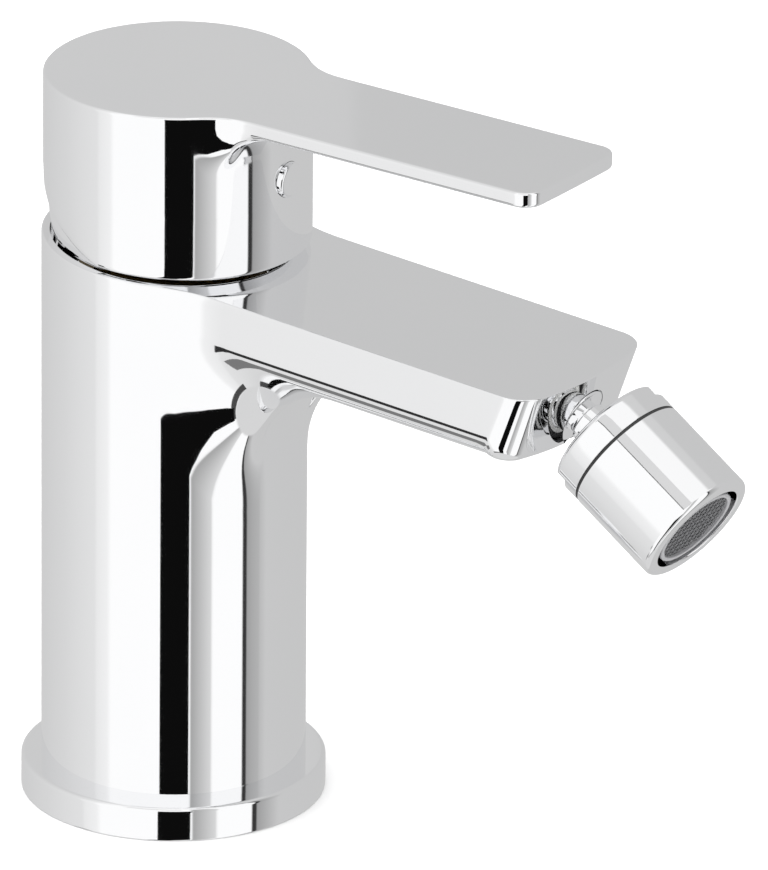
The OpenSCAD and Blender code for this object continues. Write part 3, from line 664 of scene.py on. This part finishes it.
def cup_wall(turn, level):
    """Distance of the cup's wall from the swing axis, in a direction of the top face's frame at a level."""
    a, b = math.cos(turn) * math.cos(top_slope), level * math.sin(top_slope) - cup_x
    square = a ** 2 + math.sin(turn) ** 2
    return (-a * b + math.sqrt((a * b) ** 2 - square * (b ** 2 - cup_r ** 2))) / square


def dip_level(turn):
    """Level up to which the skirt goes below the body's rim when the lever is lifted."""
    return max(0, -cup_r * math.cos(turn) * math.tan(lift)) + passing


def skirt_limit(turn, level):
    """Largest radius of the skirt: a chamfer, over a round about the lift axis as far as the skirt dips."""
    chamfer = skirt_r + (level - handle_gap) * (wide_r - skirt_r) / chamfer_h
    round_r = math.sqrt(relief_r ** 2 - max(pivot_up - level, 0) ** 2) + max(level - pivot_up, 0)
    return min(chamfer, round_r + flare * max(0, level - dip_level(turn)))


def steps_down(first, last, count):
    """Even levels from the first to just before the last."""
    return [first + (last - first) * i / count for i in range(count)]


def skirt_point(turn, radius, level):
    return top_frame @ Vector((radius * math.cos(turn), radius * math.sin(turn), level))


# The crease where the wall closes in is crisp in front and softer at the back, where the skirt dips most
crisp, softer, softer_dip = 0.00025, 0.0012, 0.003
crease_more, crease_search, bend_gap = 0.0004, 400, 0.0001
wall_rows, crease_rows, round_rows, lip_rows = 5, 18, 8, 8
skirt = []
for spot in skirt_loop + skirt_loop[:1]:
    start = top_frame.inverted() @ spot
    turn = math.atan2(start.y, start.x)
    dip = -passing - recess_z - recess_clear
    edge_low = pivot_up + (-pivot_up - dip - skirt_r * math.cos(turn) * math.sin(lift)) / math.cos(lift)
    edge_low = max(handle_gap, edge_low)
    soft = crisp + softer * min(1, (dip_level(turn) - passing) / softer_dip)
    soft_h = crease_more + soft
    crease = next(level for level in steps_down(skirt_top - 2 * soft_h, edge_low, crease_search)
                  if skirt_limit(turn, level) < cup_wall(turn, level))
    bend = min(dip_level(turn), crease - soft_h - bend_gap)
    levels = steps_down(skirt_top, crease + soft_h, wall_rows)
    levels += steps_down(crease + soft_h, crease - soft_h, crease_rows)
    levels += steps_down(crease - soft_h, bend, round_rows)
    levels += steps_down(bend, edge_low, lip_rows) + [edge_low]
    rows = [skirt_point(turn, cup_wall(turn, skirt_top), skirt_top)]
    for level in levels[1:]:
        wall_r, limit_r = cup_wall(turn, level), skirt_limit(turn, level)
        radius = (wall_r + limit_r - math.sqrt((wall_r - limit_r) ** 2 + soft ** 2)) / 2
        rows.append(skirt_point(turn, radius, level))
    rows.append(skirt_point(turn, radius - edge_turn, edge_low))
    rows.append(skirt_point(turn, inner_r, edge_low))
    rows.append(skirt_point(turn, inner_r, inner_low))
    skirt.append(rows)
handle_skin.grid(skirt)
handle_skin.flat([rows[-1] for rows in skirt[:-1]])
handle = weld(add_mesh("lever_handle", handle_skin.points, handle_skin.faces))

# Inside of the cup: a hollow around the boss, the stem's socket, and the screw's hole with its counterbore
cup_in_r, hollow_up, past_cup = 0.01885, 0.025, 0.04
boss_half, boss_back, boss_low = 0.0075, 0.0065, 0.014
stem_half_x, stem_half_y, stem_up = 0.00405, 0.00385, 0.0213
screw_up, screw_r, button_r, button_seat, hole_fit = 0.0166, 0.0025, 0.0031, 0.02035, 0.00005
hollow = plug("cup_hollow", [(cup_in_r, recess_z), (cup_in_r, hollow_up)], top_frame)
take_away(hollow, block(
    "boss", (-boss_back, -boss_half, boss_low), (cup_in_r + clear, boss_half, past_cup), top_frame))
screw_line = top_frame @ Matrix.Translation((0, 0, screw_up)) @ Matrix.Rotation(math.pi / 2, 4, "Y")
socket_low, socket_high = (-stem_half_x, -stem_half_y, boss_low - clear), (stem_half_x, stem_half_y, stem_up)
socket = block("stem_socket", socket_low, socket_high, top_frame)
screw_hole = plug("screw_hole", [
    (screw_r + hole_fit, 0), (screw_r + hole_fit, button_seat), (button_r + hole_fit, button_seat),
    (button_r + hole_fit, past_cup),
], screw_line, steps=64)
take_away(handle, hollow, socket, screw_hole)
dress(handle, chrome, "lever", "chrome", "handle")

# Index button: a small turned plug of chromed brass, pressed into the screw's counterbore.
# It stands a little out of the cup's front and has a round edge and a slightly crowned face.
button_front = (top_frame.inverted() @ Vector((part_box("index_button")[1].x, 0, top_h + screw_up))).x
crown, button_edge, tail_l = 0.0002, 0.0006, 0.003
edge_steps, crown_shares = 6, (0.75, 0.5, 0.25)
button_profile = [
    (screw_r - hole_fit, button_seat - tail_l), (screw_r - hole_fit, button_seat), (button_r, button_seat),
]
for i in range(edge_steps + 1):
    turn = math.pi / 2 * i / edge_steps
    button_profile.append((button_r - button_edge * (1 - math.cos(turn)),
                           button_front - crown - button_edge * (1 - math.sin(turn))))
for share in crown_shares:
    button_profile.append((share * (button_r - button_edge), button_front - crown * share ** 2))
button = plug("index_plug", button_profile, screw_line, steps=64)
dress(button, chrome, "lever", "chrome", "index_button", sharp=40)

# Nipple: turned brass, chromed and bored through: a threaded shank that screws into the spout, a flange on
# a washer, a groove, a neck and the ball that the nozzle swivels on.
bore_r, shank_r, flange_r, groove_r, neck_r, ball_r = 0.0018, 0.004, 0.0051, 0.003, 0.0035, 0.0055
washer_t, flange_t, groove_l = 0.0005, 0.0012, 0.001
flange_z = seat_z + washer_t
flange_top = flange_z + flange_t
neck_z = flange_top + groove_l
flange_low_edge, flange_edge, neck_edge = 0.00015, 0.0003, 0.0003
thread_pitch, thread_depth = 0.001, 0.0004
shank = []
for i in range(int(shank_l / thread_pitch)):
    turn_z = seat_z - shank_l + thread_pitch * i
    shank.append((shank_r - thread_depth, turn_z))
    shank.append((shank_r, turn_z + thread_pitch / 2))
ball_from = math.acos(-math.sqrt(ball_r ** 2 - neck_r ** 2) / ball_r)
ball_to = math.asin(bore_r / ball_r)
ball_steps = 32
ball_arc = []
for i in range(ball_steps + 1):
    angle = ball_from + (ball_to - ball_from) * i / ball_steps
    ball_arc.append((ball_r * math.sin(angle), ball_r * math.cos(angle)))
flange = rounded([
    (shank_r, flange_z, 0), (flange_r, flange_z, flange_low_edge), (flange_r, flange_top, flange_edge),
    (groove_r, flange_top, 0), (groove_r, neck_z, 0), (neck_r, neck_z, neck_edge), (neck_r, 0, 0),
])[:-1]
nipple_profile = [(bore_r, seat_z - shank_l)] + shank + flange + ball_arc
nipple = lathe("swivel_ball_nipple", nipple_profile, nipple_frame, steps=96)
dress(nipple, chrome, "body", "chrome", "swivel_nipple")

# Nozzle: a chromed cap with two spanner flats, screwed into a chromed sleeve over a thin dark ring.
# The cap holds the ball's seat, and the sleeve's round lip frames the aerator.
spin_axis = Vector(joints["nozzle_spin"]["axis"])
nozzle_pitch = math.asin(-spin_axis.z)
nozzle_turn = math.atan2(spin_axis.y, spin_axis.x)
nozzle_frame = (Matrix.Translation(ball_middle) @ Matrix.Rotation(nozzle_turn, 4, "Z")
                @ Matrix.Rotation(math.pi / 2 + nozzle_pitch, 4, "Y"))
nozzle_r, cap_l, outlet_z, ring_t = 0.01105, 0.0052, 0.0182, 0.0005
spigot_r, spigot_l, seat_r, cap_open_r = 0.0091, 0.006, 0.00695, 0.00607
flat_half, flat_end, flat_turn = 0.01035, -0.0027, math.radians(139)
fine_edge, cap_edge = 0.0001, 0.0011
seat_steps = 12
seat_arc = []
for i in range(seat_steps + 1):
    level = -math.sqrt(seat_r ** 2 - cap_open_r ** 2) * i / seat_steps
    seat_arc.append((math.sqrt(seat_r ** 2 - level ** 2), level))
cap_profile = rounded([
    (cap_open_r, -cap_l, fine_edge), (nozzle_r, -cap_l, cap_edge), (nozzle_r, flat_end, 0),
])

# The flats end in a sharp step, so the outline has two points there that all but coincide
flat_step = flat_end + 1e-7
cap_profile += [(nozzle_r, flat_step)]
cap_profile += rounded([(nozzle_r, flat_step, 0), (nozzle_r, 0, fine_edge), (spigot_r, 0, 0)])[1:]
cap_profile += [(spigot_r, spigot_l), (seat_r, spigot_l)] + seat_arc


def spanner_flats(radius, height, angle):
    """Radius of the cap where the two flats cut into it."""
    if height > flat_end:
        return radius
    across = abs(math.cos(angle - flat_turn))
    if across < flat_half / nozzle_r:
        return radius
    return min(radius, flat_half / across)


cap = lathe("nozzle_cap_turned", cap_profile, nozzle_frame, steps=192, limit=spanner_flats)
dress(cap, chrome, "nozzle", "chrome", "nozzle_cap")

sleeve_bore_r, lip_in_r, ledge_z, ledge_t, ledge_r = 0.00915, 0.0087, 0.009, 0.001, 0.00805
lip_edge, lip_in_edge = 0.001, 0.0003
sleeve = lathe("nozzle_sleeve_turned", rounded([
    (sleeve_bore_r, ring_t, 0), (nozzle_r, ring_t, fine_edge), (nozzle_r, outlet_z, lip_edge),
    (lip_in_r, outlet_z, lip_in_edge), (lip_in_r, ledge_z + ledge_t, 0), (ledge_r, ledge_z + ledge_t, 0),
    (ledge_r, ledge_z, 0), (sleeve_bore_r, ledge_z, 0),
], steps=10), nozzle_frame, steps=192)
dress(sleeve, chrome, "nozzle", "chrome", "nozzle_sleeve")

# Dark ring: a thin ring of moulded black rubber, nipped between the nozzle's cap and its sleeve.
# Its edge lies a little back from the chrome. The seals and washers inside are of the same rubber.
rubber_black, rubber_worn = (0.012, 0.012, 0.013, 1), (0.03, 0.03, 0.03, 1)
ring_back, ring_edge = 0.00015, 0.00008


def rubber_material():
    """Matt rubber with a fine grain."""
    made, node, link = new_material("rubber")
    place = node("ShaderNodeTexCoord").outputs["Object"]
    grain = node("ShaderNodeTexNoise", [("Vector", place)], Scale=2500.0, Detail=3.0)
    tone = node("ShaderNodeMix", [("Factor", grain.outputs["Fac"])], data_type="RGBA")
    tone.inputs["A"].default_value = rubber_black
    tone.inputs["B"].default_value = rubber_worn
    link(tone.outputs["Result"], "Base Color")
    rough = node("ShaderNodeMapRange", [("Value", grain.outputs["Fac"])], To_Min=0.5, To_Max=0.75)
    link(rough.outputs["Result"], "Roughness")
    bump = node("ShaderNodeBump", [("Height", grain.outputs["Fac"])], Strength=0.3, Distance=0.00005)
    link(bump.outputs["Normal"], "Normal")
    return made


rubber = rubber_material()
ring_r = nozzle_r - ring_back
dark_ring = lathe("nozzle_dark_ring", rounded([
    (sleeve_bore_r, 0, 0), (ring_r, 0, ring_edge), (ring_r, ring_t, ring_edge), (sleeve_bore_r, ring_t, 0),
], steps=3), nozzle_frame)
dress(dark_ring, rubber, "nozzle", "rubber", "nozzle_ring")

# Aerator insert: a cup of moulded grey plastic in the nozzle's outlet, held against the sleeve's ledge by the
# cap. A round seat inside its lower end takes the screen.
insert_r, insert_in_r, screen_seat_r = 0.00775, 0.006, 0.00695
insert_top, seat_from, insert_back = 0.0074, 0.011, 0.0004
insert_end = outlet_z - insert_back
insert_edge, seat_edge = 0.00025, 0.00015


def moulded_material(name, dark, light):
    """Moulded plastic: a low sheen with a fine even grain."""
    made, node, link = new_material(name)
    place = node("ShaderNodeTexCoord").outputs["Object"]
    grain = node("ShaderNodeTexNoise", [("Vector", place)], Scale=1500.0, Detail=4.0)
    tone = node("ShaderNodeMix", [("Factor", grain.outputs["Fac"])], data_type="RGBA")
    tone.inputs["A"].default_value = (*dark, 1)
    tone.inputs["B"].default_value = (*light, 1)
    link(tone.outputs["Result"], "Base Color")
    rough = node("ShaderNodeMapRange", [("Value", grain.outputs["Fac"])], To_Min=0.32, To_Max=0.5)
    link(rough.outputs["Result"], "Roughness")
    bump = node("ShaderNodeBump", [("Height", grain.outputs["Fac"])], Strength=0.15, Distance=0.00003)
    link(bump.outputs["Normal"], "Normal")
    return made


insert_grey = moulded_material("insert_grey", dark=(0.3, 0.3, 0.31), light=(0.38, 0.38, 0.39))
insert = lathe("aerator_body", rounded([
    (insert_in_r, insert_top, 0), (spigot_r, insert_top, 0), (spigot_r, ledge_z, 0), (insert_r, ledge_z, 0),
    (insert_r, insert_end, insert_edge), (screen_seat_r, insert_end, seat_edge),
    (screen_seat_r, seat_from, 0), (insert_in_r, seat_from, 0),
], steps=5), nozzle_frame)
dress(insert, insert_grey, "nozzle", "insert_grey", "aerator_insert")

# Screen: fine steel wire in a plain weave, cut round and pressed into the insert's seat.
# The weave lies at 45 degrees to the nozzle's upright.
wire_r, wire_pitch, screen_back, screen_fit = 0.00009, 0.00085, 0.0006, 0.00005
screen_mid, frame_r = insert_end - screen_back, screen_seat_r - screen_fit
points_per_pitch, fewest_points = 4, 4
drawn_grain = (200, 4000, 4000)


def brushed_material(name, dark, light, rough_low, rough_high):
    """Worked metal with fine drawn lines along one axis."""
    made, node, link = new_material(name, Metallic=1)
    place = node("ShaderNodeTexCoord").outputs["Object"]
    lines = node("ShaderNodeMapping", [("Vector", place)])
    lines.inputs["Scale"].default_value = drawn_grain
    grain = node("ShaderNodeTexNoise", [("Vector", lines.outputs["Vector"])], Scale=1.0, Detail=3.0)
    tone = node("ShaderNodeMix", [("Factor", grain.outputs["Fac"])], data_type="RGBA")
    tone.inputs["A"].default_value = (*dark, 1)
    tone.inputs["B"].default_value = (*light, 1)
    link(tone.outputs["Result"], "Base Color")
    rough = node("ShaderNodeMapRange", [("Value", grain.outputs["Fac"])],
                 To_Min=rough_low, To_Max=rough_high)
    link(rough.outputs["Result"], "Roughness")
    bump = node("ShaderNodeBump", [("Height", grain.outputs["Fac"])], Strength=0.2, Distance=0.00003)
    link(bump.outputs["Normal"], "Normal")
    return made


screen_steel = brushed_material("screen_steel", dark=(0.26, 0.26, 0.27), light=(0.4, 0.4, 0.41),
                                rough_low=0.25, rough_high=0.4)
wires_points, wires_faces = [], []


def add_wire(centres, radius, sides=6):
    """Adds a wire of round section along a list of centres that runs level across the screen."""
    start = len(wires_points)
    along = (centres[-1] - centres[0]).normalized()
    up = Vector((0, 0, 1))
    across = along.cross(up)
    for centre in centres:
        for k in range(sides):
            turn = 2 * math.pi * k / sides
            wires_points.append(centre + across * radius * math.cos(turn) + up * radius * math.sin(turn))
    for i in range(len(centres) - 1):
        for k in range(sides):
            a, b = start + i * sides + k, start + i * sides + (k + 1) % sides
            wires_faces.append((a, b, b + sides, a + sides))
    wires_faces.append(tuple(start + k for k in reversed(range(sides))))
    last = start + (len(centres) - 1) * sides
    wires_faces.append(tuple(last + k for k in range(sides)))


wire_count = int(frame_r / wire_pitch)
for direction in (0, 1):
    for i in range(-wire_count, wire_count + 1):
        offset = i * wire_pitch
        reach = math.sqrt(frame_r ** 2 - offset ** 2)
        steps = max(fewest_points, int(points_per_pitch * 2 * reach / wire_pitch))
        centres = []
        for k in range(steps + 1):
            run = -reach + 2 * reach * k / steps
            sign = 1 if (i + direction) % 2 else -1
            level = screen_mid + sign * wire_r * math.cos(math.pi * run / wire_pitch)
            place = (run, offset) if direction == 0 else (offset, run)
            centres.append(Vector((*place, level)))
        add_wire(centres, wire_r)
weave = nozzle_frame @ Matrix.Rotation(math.pi / 4, 4, "Z")
screen = add_mesh("aerator_woven_screen", [weave @ point for point in wires_points], wires_faces)
dress(screen, screen_steel, "nozzle", "screen_steel", "aerator_screen", sharp=60)

# Inner pieces: the cartridge, the ball joint's lining and the aerator's parts keep their CAD shapes.
# Acetal mouldings, lapped ceramic discs, a turned brass nut, steel stem, pin and screw, rubber seals. The
# diffuser behind the screen is painted near black, as painted shade for the dark space behind the screen.
steel = brushed_material("steel", dark=(0.5, 0.51, 0.52), light=(0.66, 0.67, 0.68),
                         rough_low=0.22, rough_high=0.38)
# Brass hue, darkened well below bright brass: the darkening is painted shade, so the nut seen in the gap under the
# handle looks dark.
brass = brushed_material("brass", dark=(0.36, 0.28, 0.15), light=(0.48, 0.38, 0.22),
                         rough_low=0.3, rough_high=0.45)
# Near-black colour on the diffuser: painted shade that darkens the space behind the screen.
diffuser_painted_shade = moulded_material("diffuser_painted_shade", dark=(0.012, 0.012, 0.013), light=(0.022, 0.022, 0.024))
finishes = {
    "rubber": rubber,
    "acetal_white": moulded_material("acetal_white", dark=(0.72, 0.72, 0.7), light=(0.82, 0.82, 0.8)),
    "acetal_dark": moulded_material("acetal_dark", dark=(0.035, 0.037, 0.042), light=(0.06, 0.063, 0.07)),
    "ceramic": moulded_material("ceramic", dark=(0.82, 0.82, 0.81), light=(0.9, 0.9, 0.89)),
    "brass": brass,
    "steel": steel,
    "insert_grey": insert_grey,
    "screen_steel": screen_steel,
    "chrome": chrome,
}
for part in frame["record"]["subparts"]:
    mesh = frame["nodes"][part["node"]].data
    mesh.materials.clear()
    finish = finishes[part["material_slot"]]
    # The diffuser takes the near-black painted shade in place of the grey of its slot.
    if part["node"] == "aerator_diffuser":
        finish = diffuser_painted_shade
    mesh.materials.append(finish)
